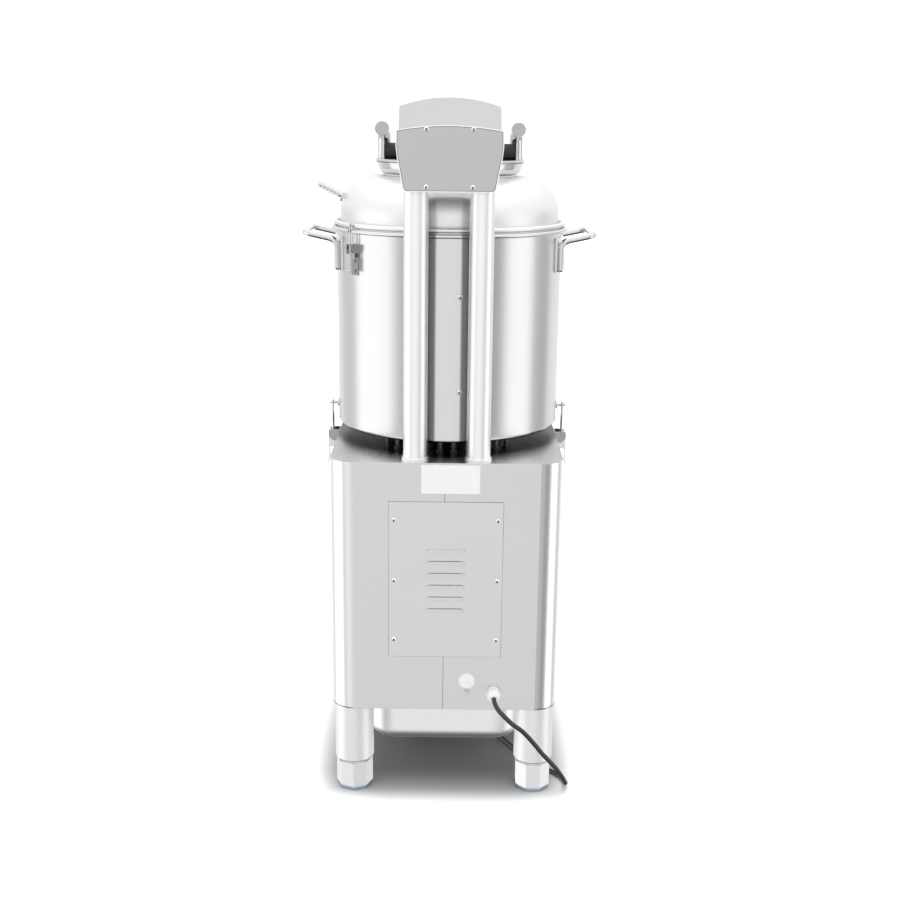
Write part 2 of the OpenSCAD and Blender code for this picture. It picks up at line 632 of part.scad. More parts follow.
// x, y and hole size of each control
control_pos = [[0, 26, 7], [-32, -30, button_d - 5.9], [32, -30, button_d - 5.9]];

module timer_knob() color("black") on_face() translate([0, 26, 0]) {
    difference() {
        union() {
            translate([0, 0, 1.2]) cylinder(d = knob_d, h = 5);
            translate([0, 0, 6.2]) cylinder(d1 = knob_d - 6, d2 = knob_d - 10, h = 12);
        }
        for (k = [0:11]) rotate([0, 0, 30 * k + 15]) translate([knob_d / 2 - 2.2, 0, 6.2]) cylinder(r = 2.4, h = 20);
    }
    translate([0, 0, -10]) cylinder(r = 3, h = 12);
}
module button(c) color(c) {
    translate([0, 0, 0.8]) cylinder(d = button_d, h = 6);
    translate([0, 0, -9]) cylinder(d = button_d - 6, h = 10);
}
module start_button() on_face() translate([control_pos[1][0], control_pos[1][1], 4]) button("green");
module stop_button() on_face() translate([control_pos[2][0], control_pos[2][1], 4]) button("red");

// ---------------------------------------------------------------- mains lead
// centre line from the gland, down past the rear leg and in under the machine
route = [[-80.5, 230, 184], [-80.5, 246, 184], [-80.5, 258, 184], [-82, 269.5, 181.6], [-87, 280, 176],
    [-96.5, 287, 168], [-110, 290, 156], [-126, 287, 142.5], [-143, 282.5, 122], [-159, 276.5, 99], [-173, 268.5, 80],
    [-185.5, 258, 61], [-196, 242, 39.5], [-203, 227, 21.5], [-206.5, 211, 9.5], [-205.5, 195, 4.6], [-200, 180, 4.2],
    [-190, 166, 4.2], [-176, 152, 4.2], [-161, 135, 4.2], [-147, 114, 4.2], [-133, 90, 4.2], [-118, 62, 4.2],
    [-102, 32, 4.2], [-86, 4, 4.2], [-75, -22, 4.2], [-69.6, -44, 4.2], [-68.4, -60, 4.2]];
cord_sides = 12;
cord_r = cord_d / 2 / cos(180 / cord_sides); // corners of the tube's rings
function cat(a, b, c, d, t) = 0.5 * ((2 * b) + (c - a) * t + (2 * a - 5 * b + 4 * c - d) * t * t
    + (3 * b - a - 3 * c + d) * t * t * t);
function rt(i) = route[max(0, min(len(route) - 1, i))];
// two rings for each stretch of the route
cord_pts = [for (i = [0:len(route) - 2], t = [0, 0.5]) cat(rt(i - 1), rt(i), rt(i + 1), rt(i + 2), t), rt(len(route) - 1)];
function unit(v) = v / norm(v);
function tangent(i) = unit(cord_pts[min(len(cord_pts) - 1, i + 1)] - cord_pts[max(0, i - 1)]);
function side_of(t) = unit(cross(t, [0.31, 0.17, 0.94]));
module cord_tube() color("black") {
    n = len(cord_pts);
    m = cord_sides;
    pts = [for (i = [0:n - 1], k = [0:m - 1]) let (t = tangent(i), u = side_of(t), v = cross(t, u))
        cord_pts[i] + cord_r * (cos(360 * k / m) * u + sin(360 * k / m) * v)];
    faces = concat([[for (k = [0:m - 1]) k]],
        [for (i = [0:n - 2], k = [0:m - 1]) [i * m + k, (i + 1) * m + k, (i + 1) * m + (k + 1) % m, i * m + (k + 1) % m]],
        [[for (k = [m - 1:-1:0]) (n - 1) * m + k]]);
    polyhedron(points = pts, faces = faces);
}
coil = [-22, -60];                   // centre of the coil
coil_r = 42.5;                       // middle of its turns
module cord_coil() color("black") translate([coil[0], coil[1], 0.4]) rotate_extrude()
    translate([coil_r - 8, 0]) square([16, 15.6]);
// its lead leaves the coil's outer turn along +Y
module plug() color("black") translate([coil[0] + coil_r + cord_d / 2, coil[1] + 74, 19.4]) rotate([90, 0, 0]) {
    cylinder(d = 38, h = 16);
    translate([0, 0, 16]) cylinder(d1 = 36, d2 = 24, h = 18);
    translate([0, 0, 34]) cylinder(d1 = 14, d2 = 9, h = 22);
    for (s = [-1, 1]) translate([s * 9.5, 0, -19]) cylinder(d = 4.8, h = 19);
}

// ---------------------------------------------------------------- the assembly
place() cabinet_shell();
place() base_frame();
place() legs();
place() foot(1, 22.5);  // foot_rear_left
place() foot(0, 0);  // foot_rear_right
place() foot(3, 35);  // foot_front_left
place() foot(2, 10);  // foot_front_right
place() service_panel();
place() cover_screws();
place() blank_plates();
place() earth_stud();
place() cable_gland();
place() catch_pan();
place() motor();
place() motor_plate();
place() motor_rotor();
place() drive_belt();
place() drive_shaft();
place() drive_pulley();
place() bearing_housing();
place() bearings();
place() drain_pipe();
place() peeling_disc();
place() drum_shell();
place() drum_standoffs();
place() grit_liner();
place() liner_bolts();
place() drum_handle();  // drum_handle_left
place() rotate([0, 0, 180]) drum_handle();  // drum_handle_right
place() chute_frame();
place() door();
place() door_handle();
place() door_seal();
place() latch_bases();
place() latch_catches();
place() around(90) color("silver") latch_lever(side_p);  // side_lever_left
place() around(-90) color("silver") latch_lever(side_p);  // side_lever_right
place() around(90) color("silver") latch_loop(side_p, side_l);  // side_loop_left
place() around(-90) color("silver") latch_loop(side_p, side_l);  // side_loop_right
place() around(clip_a) clip_lever();  // clip_lever_rear
place() around(clip_a + 180) clip_lever();  // clip_lever_front
place() around(clip_a) clip_loop();  // clip_loop_rear
place() around(clip_a + 180) clip_loop();  // clip_loop_front
place() dome_lid();
place() feed_funnel();
place() hatch_plate();
place() hatch_arms();
place() hatch_grip();
place() arm_plugs();
place() hatch_hinge();
place() water_inlet();
place() posts();
place() head_housing();
place() head_cover();
place() timer_knob();
place() start_button();
place() stop_button();
place() cord_tube();
place() cord_coil();
place() plug();
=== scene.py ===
import math
import random

import bmesh
import bpy
from mathutils import Matrix, Vector


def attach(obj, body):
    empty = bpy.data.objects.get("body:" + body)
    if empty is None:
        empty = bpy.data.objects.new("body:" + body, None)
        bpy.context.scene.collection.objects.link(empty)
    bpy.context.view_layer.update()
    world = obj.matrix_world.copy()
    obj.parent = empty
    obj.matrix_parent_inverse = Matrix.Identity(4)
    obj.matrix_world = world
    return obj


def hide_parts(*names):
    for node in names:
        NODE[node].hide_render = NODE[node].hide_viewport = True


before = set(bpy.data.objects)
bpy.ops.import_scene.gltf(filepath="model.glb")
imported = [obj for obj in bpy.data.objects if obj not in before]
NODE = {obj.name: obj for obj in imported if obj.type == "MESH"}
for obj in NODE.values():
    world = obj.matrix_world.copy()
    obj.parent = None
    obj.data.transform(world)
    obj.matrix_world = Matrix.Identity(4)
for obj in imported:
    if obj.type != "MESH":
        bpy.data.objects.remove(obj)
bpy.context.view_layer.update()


MM = 0.001
FY = 8.42  # the design frame's shift along y, in millimetres
scene = bpy.context.scene


def P(x, y, z):
    """A point of the design frame, in millimetres, as the row frame has it in metres."""
    return Vector((x * MM, (y + FY) * MM, z * MM))


# ------------------------------------------------------------------ camera
cam_data = bpy.data.cameras.new("camera")
cam_data.sensor_fit = "HORIZONTAL"
cam_data.sensor_width = 36.0
cam_data.lens = 50.58
cam_data.clip_end = 100.0
cam = bpy.data.objects.new("camera", cam_data)
scene.collection.objects.link(cam)
cam.matrix_world = (
    Matrix.Translation((-0.00509, 2.1386 + FY * MM, 1.088))
    @ Matrix.Rotation(math.radians(180), 4, "Z")
    @ Matrix.Rotation(math.radians(90 - 14.543), 4, "X")
    @ Matrix.Rotation(math.radians(0.638), 4, "Z")
)
scene.camera = cam


# ------------------------------------------------------------------ node helpers
class Tree:
    """A material's nodes, with short names for what the finishes below share."""

    def __init__(self, material):
        material.use_nodes = True
        self.nt = material.node_tree
        self.nt.nodes.clear()
        self.out = self.new("ShaderNodeOutputMaterial")
        self.b = self.new("ShaderNodeBsdfPrincipled")
        self.link(self.b.outputs[0], self.out.inputs[0])
        self.co = self.new("ShaderNodeTexCoord").outputs["Object"]
        self.nrm = None

    def new(self, kind, **props):
        n = self.nt.nodes.new(kind)
        for k, v in props.items():
            setattr(n, k, v)
        return n

    def link(self, a, b):
        self.nt.links.new(a, b)

    def set(self, name, value):
        s = self.b.inputs[name]
        if hasattr(value, "links"):
            self.link(value, s)
        else:
            s.default_value = (*value, 1.0) if isinstance(value, tuple) and len(value) == 3 else value

    def scaled(self, scale, loc=(0, 0, 0), rot=(0, 0, 0), src=None):
        m = self.new("ShaderNodeMapping")
        m.inputs["Location"].default_value = loc
        m.inputs["Rotation"].default_value = rot
        m.inputs["Scale"].default_value = scale
        self.link(src or self.co, m.inputs["Vector"])
        return m.outputs[0]

    def noise(self, vec, scale=1.0, detail=3.0, rough=0.55, dist=0.0):
        n = self.new("ShaderNodeTexNoise")
        n.inputs["Scale"].default_value = scale
        n.inputs["Detail"].default_value = detail
        n.inputs["Roughness"].default_value = rough
        n.inputs["Distortion"].default_value = dist
        self.link(vec, n.inputs["Vector"])
        return n.outputs["Fac"]

    def math(self, op, a, b=None, c=None, clamp=False):
        n = self.new("ShaderNodeMath", operation=op, use_clamp=clamp)
        for i, v in enumerate((a, b, c)):
            if v is None:
                continue
            if hasattr(v, "links"):
                self.link(v, n.inputs[i])
            else:
                n.inputs[i].default_value = v
        return n.outputs[0]

    def range(self, v, a, b, c, d, smooth=False):
        n = self.new("ShaderNodeMapRange")
        n.interpolation_type = "SMOOTHSTEP" if smooth else "LINEAR"
        n.clamp = True
        self.link(v, n.inputs[0])
        for i, x in zip((1, 2, 3, 4), (a, b, c, d)):
            n.inputs[i].default_value = x
        return n.outputs[0]

    def mix(self, f, a, b):
        """A mix of two colours; each is a colour or a socket."""
        n = self.new("ShaderNodeMix", data_type="RGBA")
        if hasattr(f, "links"):
            self.link(f, n.inputs[0])
        else:
            n.inputs[0].default_value = f
        for i, v in ((6, a), (7, b)):
            if hasattr(v, "links"):
                self.link(v, n.inputs[i])
            else:
                n.inputs[i].default_value = (*v, 1.0)
        return n.outputs[2]

    def xyz(self, src=None):
        n = self.new("ShaderNodeSeparateXYZ")
        self.link(src or self.co, n.inputs[0])
        return n.outputs

    def facing(self):
        """The surface's own normal, split."""
        g = self.new("ShaderNodeNewGeometry")
        return self.xyz(g.outputs["True Normal"])

    def bump(self, height, strength, distance=0.0003, edge=0.0):
        n = self.new("ShaderNodeBump")
        n.inputs["Strength"].default_value = strength
        n.inputs["Distance"].default_value = distance
        self.link(height, n.inputs["Height"])
        if edge:
            e = self.new("ShaderNodeBevel", samples=4)
            e.inputs["Radius"].default_value = edge
            self.link(e.outputs[0], n.inputs["Normal"])
        self.link(n.outputs[0], self.b.inputs["Normal"])

    def radius(self, x0=0.0, y0=0.0):
        """Distance from an upright axis."""
        o = self.xyz()
        dx = self.math("SUBTRACT", o[0], x0)
        dy = self.math("SUBTRACT", o[1], y0)
        return self.math("SQRT", self.math("ADD", self.math("MULTIPLY", dx, dx), self.math("MULTIPLY", dy, dy)))


def material(name):
    m = bpy.data.materials.new(name)
    return m, Tree(m)


def tone(c, k):
    return tuple(min(1.0, v * k) for v in c)


def brushed(name, base, rough=0.27, vary=0.015, streak=0.006, bump=0.003, along="h", edge=0.0006, smudge=0.015, extra=None):
    """Satin sheet steel. along: h for grain that runs level round upright walls, v for upright grain, n for a fine
    blasted finish with no direction."""
    m, t = material(name)
    t.set("Metallic", 1.0)
    if along == "h":
        n = t.facing()
        side = t.math("GREATER_THAN", t.math("ABSOLUTE", n[0]), 0.75)
        g1 = t.noise(t.scaled((9, 2200, 2200)), 1.0, 2, 0.6)
        g2 = t.noise(t.scaled((2200, 9, 2200)), 1.0, 2, 0.6)
        grain = t.new("ShaderNodeMix", data_type="FLOAT")
        t.link(side, grain.inputs[0])
        t.link(g1, grain.inputs[2])
        t.link(g2, grain.inputs[3])
        grain = grain.outputs[0]
    elif along == "r":  # level grain round a body of revolution
        grain = t.noise(t.scaled((7, 7, 2200)), 1.0, 2, 0.6)
    elif along == "v":
        grain = t.noise(t.scaled((2200, 2200, 9)), 1.0, 2, 0.6)
    else:
        grain = t.noise(t.scaled((1, 1, 1)), 1400, 2, 0.5)
    cloud = t.noise(t.scaled((1, 1, 1)), 7.0, 4, 0.6, 0.4)
    r = t.math("ADD", t.range(grain, 0.3, 0.7, rough - vary, rough + vary), t.range(cloud, 0.3, 0.7, -smudge, smudge))
    t.set("Roughness", r)
    c = t.mix(t.range(grain, 0.32, 0.68, 0, 1), tone(base, 1 - streak), tone(base, 1 + streak))
    c = t.mix(t.math("MULTIPLY", t.range(cloud, 0.35, 0.7, 0, 1), 0.35), c, tone(base, 0.985))
    if extra:
        c = extra(t, c)
    t.set("Base Color", c)
    t.bump(grain, bump, 0.0001, edge)
    return m


def polished(name, base=(0.9, 0.9, 0.905), rough=0.07, edge=0.0004):
    """Bright plated or polished metal with faint wipe marks."""
    m, t = material(name)
    t.set("Metallic", 1.0)
    wipe = t.noise(t.scaled((60, 60, 60)), 1.0, 4, 0.6, 0.8)
    fine = t.noise(t.scaled((1, 1, 1)), 900, 2)
    t.set("Roughness", t.math("ADD", t.range(wipe, 0.35, 0.7, rough * 0.7, rough * 1.6), t.range(fine, 0.3, 0.7, -0.01, 0.01)))
    t.set("Base Color", t.mix(t.range(wipe, 0.3, 0.7, 0, 1), base, tone(base, 0.94)))
    t.bump(fine, 0.03, 0.0001, edge)
    return m


def plastic(name, base, rough=0.4, grain=1600, bump=0.12, worn=0.12, coat=0.0, edge=0.0005, spec=0.5):
    """Moulded plastic or rubber with a fine spark-eroded grain."""
    m, t = material(name)
    fine = t.noise(t.scaled((1, 1, 1)), grain, 2, 0.6)
    soft = t.noise(t.scaled((1, 1, 1)), 28, 4, 0.6, 0.3)
    t.set("Base Color", t.mix(t.range(soft, 0.3, 0.72, 0, 1), tone(base, 1 - worn), tone(base, 1 + worn)))
    t.set("Roughness", t.range(soft, 0.3, 0.7, rough - 0.06, rough + 0.08))
    t.b.inputs["Specular IOR Level"].default_value = spec
    t.b.inputs["Coat Weight"].default_value = coat
    t.b.inputs["Coat Roughness"].default_value = 0.12
    t.bump(fine, bump, 0.00025, edge)
    return m


def sand(name, base, fleck, scale=900, bump=0.9):
    """Bonded abrasive grit."""
    m, t = material(name)
    v = t.new("ShaderNodeTexVoronoi")
    v.inputs["Scale"].default_value = scale
    t.link(t.co, v.inputs["Vector"])
    coarse = t.noise(t.scaled((1, 1, 1)), 45, 4, 0.6)
    c = t.mix(t.range(v.outputs["Distance"], 0.1, 0.7, 0, 1), fleck, base)
    t.set("Base Color", t.mix(t.range(coarse, 0.35, 0.7, 0, 0.6), c, tone(base, 0.7)))
    t.set("Roughness", t.range(coarse, 0.3, 0.7, 0.72, 0.95))
    t.bump(v.outputs["Distance"], bump, 0.0008)
    return m


# ------------------------------------------------------------------ finishes
def under_drum(t, c):
    """Painted shadow on the ground of the well under the drum, on top of the cabinet, with the other painted light and
    shade of the cabinet shell.
    """
    n = t.facing()
    up = t.math("MULTIPLY", t.math("GREATER_THAN", n[2], 0.5), t.math("GREATER_THAN", t.xyz()[2], 0.56))
    r = t.radius(0, FY * MM)
    # painted shadow: the top of the cabinet under the drum is darkened to near black
    k = t.math("MULTIPLY", up, t.range(r, 0.186, 0.216, 1, 0, True))
    c = t.mix(k, c, (0.006, 0.006, 0.007))
    # painted shade in the fine gap round the service panel, drawn as a dark seam
    o = t.xyz()
    rear = t.math("GREATER_THAN", o[1], (235.0 + FY) * MM)
    u = t.math("SUBTRACT", t.math("ABSOLUTE", o[0]), 90.5 * MM)
    v = t.math("SUBTRACT", t.math("ABSOLUTE", t.math("SUBTRACT", o[2], 379 * MM)), 130.75 * MM)
    seam = t.range(t.math("MAXIMUM", u, v), 0.1 * MM, 1.1 * MM, 1, 0, True)
    soft = t.noise(t.scaled((9, 9, 9)), 1.0, 2)
    seam = t.math("MULTIPLY", seam, t.range(soft, 0.35, 0.65, 0.55, 1.0))
    c = t.mix(t.math("MULTIPLY", rear, seam), c, (0.10, 0.10, 0.105))
    # painted highlights and painted shade: the broad bright and darker bands of the two upright corners
    wall = t.math("MULTIPLY", t.range(o[1], 0.2078, 0.2150, 0, 1, True), t.math("LESS_THAN", n[2], 0.5))
    hi = t.math("MULTIPLY", t.range(t.math("ABSOLUTE", o[0]), 0.158, 0.167, 0, 1, True), wall)
    c = t.mix(hi, c, (0.98, 0.98, 0.983))
    rise = t.math("MULTIPLY", t.range(o[0], 0.144, 0.161, 0, 0.90, True), wall)
    c = t.mix(rise, c, (0.98, 0.98, 0.983))
    low = t.math("MULTIPLY", t.range(o[0], -0.1488, -0.1476, 1, 0), t.range(o[0], -0.163, -0.157, 0, 1, True))
    c = t.mix(t.math("MULTIPLY", t.math("MULTIPLY", low, wall), 0.55), c, (0.42, 0.42, 0.423))
    # painted light on the top sheet: brightest between the drum and the rear edge, with painted shade towards the
    # corners
    x = t.math("ABSOLUTE", o[0])
    top = t.math("MULTIPLY", t.math("GREATER_THAN", n[2], 0.5), t.math("SUBTRACT", 1.0, k))
    lit = t.math("MULTIPLY", t.range(x, 0.050, 0.085, 0, 1, True), t.range(x, 0.115, 0.155, 1, 0, True))
    c = t.mix(t.math("MULTIPLY", t.math("MULTIPLY", lit, top), 0.8), c, (0.98, 0.98, 0.983))
    far = t.math("MULTIPLY", t.range(x, 0.135, 0.180, 0, 0.45, True), top)
    c = t.mix(far, c, (0.33, 0.33, 0.333))
    # the sheet's butt joint, and painted shade in the gap where the corners stand on the leg sleeves
    joint = t.range(t.math("ABSOLUTE", t.math("SUBTRACT", o[0], 2.35 * MM)), 0.35 * MM, 0.8 * MM, 0.55, 0)
    c = t.mix(t.math("MULTIPLY", rear, joint), c, (0.2, 0.2, 0.2))
    gap = t.math("MULTIPLY", t.range(o[2], 156.0 * MM, 156.8 * MM, 1, 0), t.range(t.math("ABSOLUTE", o[0]), 0.146, 0.156, 0, 1))
    return t.mix(gap, c, (0.015, 0.015, 0.015))


def beside_posts(t, c):
    """The drum's rear, in the shade right behind and beside the two posts."""
    o = t.xyz()
    x = t.math("ABSOLUTE", o[0])
    k = t.math("MULTIPLY", t.range(x, 0.0175, 0.0225, 0, 1, True), t.range(x, 0.056, 0.074, 1, 0, True))
    k = t.math("MULTIPLY", k, t.math("GREATER_THAN", o[1], 0.0))
    return t.mix(t.math("MULTIPLY", k, 0.85), c, (0.10, 0.10, 0.102))


def louvre_tops(t, c):
    """The pressed hoods' upward faces keep a little less light than the flat sheet."""
    n = t.facing()
    return t.mix(t.range(n[2], 0.12, 0.5, 0, 1.0, True), c, (0.50, 0.502, 0.505))


def shaded_rear(t, c):
    """The dome's rear, in the shade of the posts and the head."""
    o = t.xyz()
    x = t.math("ABSOLUTE", o[0])
    arch = t.math("MULTIPLY", t.range(o[2], 0.949, 0.958, 0, 1, True), t.range(o[2], 0.971, 0.981, 1, 0, True))
    side = t.math("MULTIPLY", t.range(x, 0.0150, 0.0235, 0, 1, True), t.range(o[2], 0.968, 0.979, 1, 0, True))
    k = t.math("MAXIMUM", t.math("MULTIPLY", arch, 0.3), side)
    k = t.math("MULTIPLY", k, t.range(x, 0.030, 0.044, 1, 0, True))
    k = t.math("MULTIPLY", k, t.math("GREATER_THAN", o[1], 0.0))
    return t.mix(t.math("MULTIPLY", k, 0.42), c, (0.16, 0.16, 0.163))


def head_slope(t, c):
    """Painted shade on the head's upward slope and crown, darker than its sides."""
    n = t.facing()
    o = t.xyz()
    c = t.mix(t.range(n[2], 0.2, 0.6, 0, 1, True), c, (0.50, 0.50, 0.503))
    # painted highlight: its cheeks and the flange round the rear cover stand brighter
    cheek = t.math("MULTIPLY", t.range(t.math("ABSOLUTE", o[0]), 0.0748, 0.0760, 0, 1), t.math("GREATER_THAN", n[1], -0.1))
    flange = t.math("GREATER_THAN", n[1], 0.93)
    return t.mix(t.math("MAXIMUM", cheek, flange), c, (0.97, 0.97, 0.973))


def cover_edge(t, c):
    """The cover's cut edges catch the light."""
    n = t.facing()
    return t.mix(t.math("LESS_THAN", t.math("ABSOLUTE", n[1]), 0.5), c, (0.97, 0.97, 0.973))


steel_cab = brushed("cabinet steel", (0.675, 0.677, 0.68), 0.27, 0.003, 0.002, 0.0003, "h", extra=under_drum)
steel_panel = brushed("panel steel", (0.70, 0.702, 0.705), 0.30, 0.003, 0.002, 0.0003, "h", extra=louvre_tops)
steel_drum = brushed("drum steel", (0.71, 0.712, 0.715), 0.24, 0.015, 0.006, 0.006, "r", extra=beside_posts)
steel_dome = brushed("dome steel", (0.84, 0.842, 0.845), 0.40, 0.02, 0.005, 0.008, "n", edge=0.0, extra=shaded_rear)
steel_post = brushed("post steel", (0.95, 0.952, 0.955), 0.38, 0.015, 0.006, 0.006, "v")
steel_head = brushed("head steel", (0.74, 0.74, 0.743), 0.36, 0.02, 0.006, 0.010, "n", edge=0.0, extra=head_slope)
steel_leg = brushed("leg steel", (0.93, 0.932, 0.935), 0.50, 0.015, 0.005, 0.006, "v")
steel_pan = brushed("pan steel", (0.94, 0.942, 0.945), 0.40, 0.015, 0.005, 0.006, "n")
steel_frame = brushed("frame steel", (0.45, 0.45, 0.455), 0.42, 0.06, 0.03, 0.05, "n")
steel_hatch = brushed("hatch steel", (0.58, 0.582, 0.585), 0.30, 0.03, 0.01, 0.015, "n")
grey_cover = brushed("grey cover", (0.55, 0.552, 0.555), 0.42, 0.02, 0.008, 0.010, "n", edge=0.0, extra=cover_edge)
chrome = polished("polished steel", (0.70, 0.702, 0.706), 0.09)
bright = polished("bright fixings", (0.66, 0.66, 0.66), 0.16)
screw_steel = polished("screw steel", (0.95, 0.95, 0.953), 0.30)
# painted shade: the latch base plates get a darker copy of the bright plating
latch_plate = polished("latch plates", (0.36, 0.362, 0.366), 0.14)
funnel = polished("funnel steel", (0.70, 0.702, 0.705), 0.10)
# painted shade: the stand-offs sit in the shade under the drum, so their steel is made near black
standoff_painted_shade = polished("standoff steel", (0.11, 0.11, 0.11), 0.30)
machined = polished("machined steel", (0.50, 0.50, 0.51), 0.22)
white_plate = plastic("white plate", (0.60, 0.60, 0.60), 0.45, 900, 0.03, 0.02)
white_plastic = plastic("white plastic", (0.66, 0.66, 0.655), 0.35, 1500, 0.05, 0.02)
grey_plastic = plastic("grey plastic", (0.36, 0.365, 0.37), 0.42, 1500, 0.12, 0.05)
black_grip = plastic("black grip", (0.012, 0.012, 0.013), 0.42, 1300, 0.2, 0.2)
knob_black = plastic("knob black", (0.012, 0.012, 0.013), 0.36, 1500, 0.12, 0.15, 0.15)
green = plastic("green button", (0.015, 0.27, 0.055), 0.32, 1800, 0.04, 0.08, 0.4)
red = plastic("red button", (0.50, 0.016, 0.012), 0.32, 1800, 0.04, 0.08, 0.4)
rubber = plastic("cord rubber", (0.020, 0.020, 0.022), 0.36, 1400, 0.12, 0.18)
seal = plastic("seal rubber", (0.04, 0.04, 0.042), 0.6, 900, 0.2, 0.2)
belt = plastic("belt rubber", (0.016, 0.016, 0.016), 0.75, 700, 0.3, 0.2)
motor_paint = plastic("motor paint", (0.10, 0.13, 0.165), 0.38, 500, 0.1, 0.1, 0.2)
iron = plastic("pulley iron", (0.13, 0.13, 0.135), 0.5, 500, 0.35, 0.2)
drain_pvc = plastic("drain plastic", (0.34, 0.34, 0.34), 0.5, 900, 0.08, 0.06)
grit = sand("abrasive lining", (0.14, 0.12, 0.105), (0.34, 0.31, 0.27), 850)
grit_disc = sand("abrasive disc", (0.105, 0.097, 0.09), (0.28, 0.26, 0.235), 600)


def foot_finish():
    """Bright octagonal foot with the maker's pale blue film left round its sole."""
    m, t = material("foot metal")
    z = t.xyz()[2]
    fine = t.noise(t.scaled((900, 900, 6)), 1.0, 3, 0.6)
    wav = t.noise(t.scaled((1, 1, 1)), 35, 2)
    edge = t.math("ADD", z, t.range(wav, 0.3, 0.7, -0.0012, 0.0012))
    film = t.range(edge, 0.0070, 0.0082, 1, 0)
    t.set("Base Color", t.mix(film, t.mix(t.range(fine, 0.3, 0.7, 0, 1), (0.93, 0.932, 0.935), (0.95, 0.952, 0.955)), (0.44, 0.51, 0.62)))
    t.set("Metallic", t.range(film, 0, 1, 1, 0.0))
    t.set("Roughness", t.range(fine, 0.3, 0.7, 0.50, 0.56))
    t.bump(fine, 0.004, 0.0001, 0.0012)
    return m


foot_metal = foot_finish()

FINISH = {
    steel_cab: "cabinet_shell",
    steel_panel: "service_panel",
    steel_frame: "base_frame motor_plate",
    steel_leg: "legs",
    foot_metal: "foot_rear_left foot_rear_right foot_front_left foot_front_right",
    screw_steel: "cover_screws liner_bolts",
    bright: "earth_stud latch_catches",
    white_plate: "blank_plates",
    white_plastic: "cable_gland",
    steel_pan: "catch_pan",
    motor_paint: "motor",
    machined: "motor_rotor drive_shaft bearings",
    belt: "drive_belt",
    iron: "drive_pulley bearing_housing",
    drain_pvc: "drain_pipe",
    grit_disc: "peeling_disc",
    steel_drum: "drum_shell chute_frame door",
    steel_post: "posts",
    grit: "grit_liner",
    latch_plate: "latch_bases",
    chrome: "drum_handle_left drum_handle_right door_handle side_lever_left side_lever_right side_loop_left "
    "side_loop_right clip_lever_rear clip_lever_front clip_loop_rear clip_loop_front hatch_arms hatch_hinge water_inlet",
    standoff_painted_shade: "drum_standoffs",
    seal: "door_seal",
    steel_dome: "dome_lid",
    funnel: "feed_funnel",
    steel_hatch: "hatch_plate",
    black_grip: "hatch_grip",
    grey_plastic: "arm_plugs",
    steel_head: "head_housing",
    grey_cover: "head_cover",
    knob_black: "timer_knob",
    green: "start_button",
    red: "stop_button",
    rubber: "cord_tube cord_coil plug",
}
for m, names in FINISH.items():
    for name in names.split():
        o = NODE[name]
        o.data.materials.clear()
        o.data.materials.append(m)
        for p in o.data.polygons:
            p.material_index = 0


# ------------------------------------------------------------------ mains lead
def catmull(points, steps):
    pts = [Vector(p) for p in points]
    out = []
    for i in range(len(pts) - 1):
        a, b, c, d = pts[max(0, i - 1)], pts[i], pts[i + 1], pts[min(len(pts) - 1, i + 2)]
        for k in range(steps):
            s = k / steps
            out.append(0.5 * ((2 * b) + (c - a) * s + (2 * a - 5 * b + 4 * c - d) * s * s + (3 * b - a - 3 * c + d) * s ** 3))
    out.append(pts[-1])
    return out


ROUTE = [
    (-80.5, 246, 184), (-80.5, 258, 184), (-82, 269.5, 181.6), (-87, 280, 176),
    (-96.5, 287, 168), (-110, 290, 156), (-126, 287, 142.5), (-143, 282.5, 122), (-159, 276.5, 99), (-173, 268.5, 80),
    (-185.5, 258, 61), (-196, 242, 39.5), (-203, 227, 21.5), (-206.5, 211, 9.5), (-205.5, 195, 4.6), (-200, 180, 4.2),
    (-190, 166, 4.2), (-176, 152, 4.2), (-161, 135, 4.2), (-147, 114, 4.2), (-133, 90, 4.2), (-118, 62, 4.2),
    (-102, 32, 4.2), (-86, 4, 4.2), (-75, -22, 4.2), (-69.6, -44, 4.2), (-68.25, -60, 4.2),
]
COIL = (-22.0, -60.0)


def smooth(x):
    x = min(1.0, max(0.0, x))
    return x * x * (3 - 2 * x)


lead = list(ROUTE)
step = 20
for k in range(1, int((1440 - 180) / step) + 1):
    th = 180 + step * k
    r = 46.25 - 7.5 * smooth((th - 420) / 100) + 7.5 * smooth((th - 1060) / 100)
    z = 4.2 + 7.5 * smooth((th - 720) / 140) + 5.6 * smooth((th - 1340) / 110)
    lead.append((COIL[0] + r * math.cos(math.radians(th)), COIL[1] + r * math.sin(math.radians(th)), z))
lead += [(24.25, -47.5, 18.5), (24.25, -35, 19.4)]
line = catmull([P(*p) for p in lead], 6)
curve = bpy.data.curves.new("mains_lead", "CURVE")
curve.dimensions = "3D"
sp = curve.splines.new("POLY")
sp.points.add(len(line) - 1)
for pt, co in zip(sp.points, line):
    pt.co = (*co, 1.0)
curve.bevel_depth = 3.74 * MM
curve.bevel_resolution = 5
curve.use_fill_caps = True
curve.materials.append(rubber)
mains = bpy.data.objects.new("mains_lead", curve)
scene.collection.objects.link(mains)
mains.visible_glossy = False


def add(name, bm, mats, body="root", smooth_angle=35):
    me = bpy.data.meshes.new(name)
    bmesh.ops.recalc_face_normals(bm, faces=bm.faces)
    bm.to_mesh(me)
    bm.free()
    for m in mats if isinstance(mats, (list, tuple)) else [mats]:
        me.materials.append(m)
    for p in me.polygons:
        p.use_smooth = True
    o = bpy.data.objects.new(name, me)
    scene.collection.objects.link(o)
    me.set_sharp_from_angle(angle=math.radians(smooth_angle))
    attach(o, body)
    return o


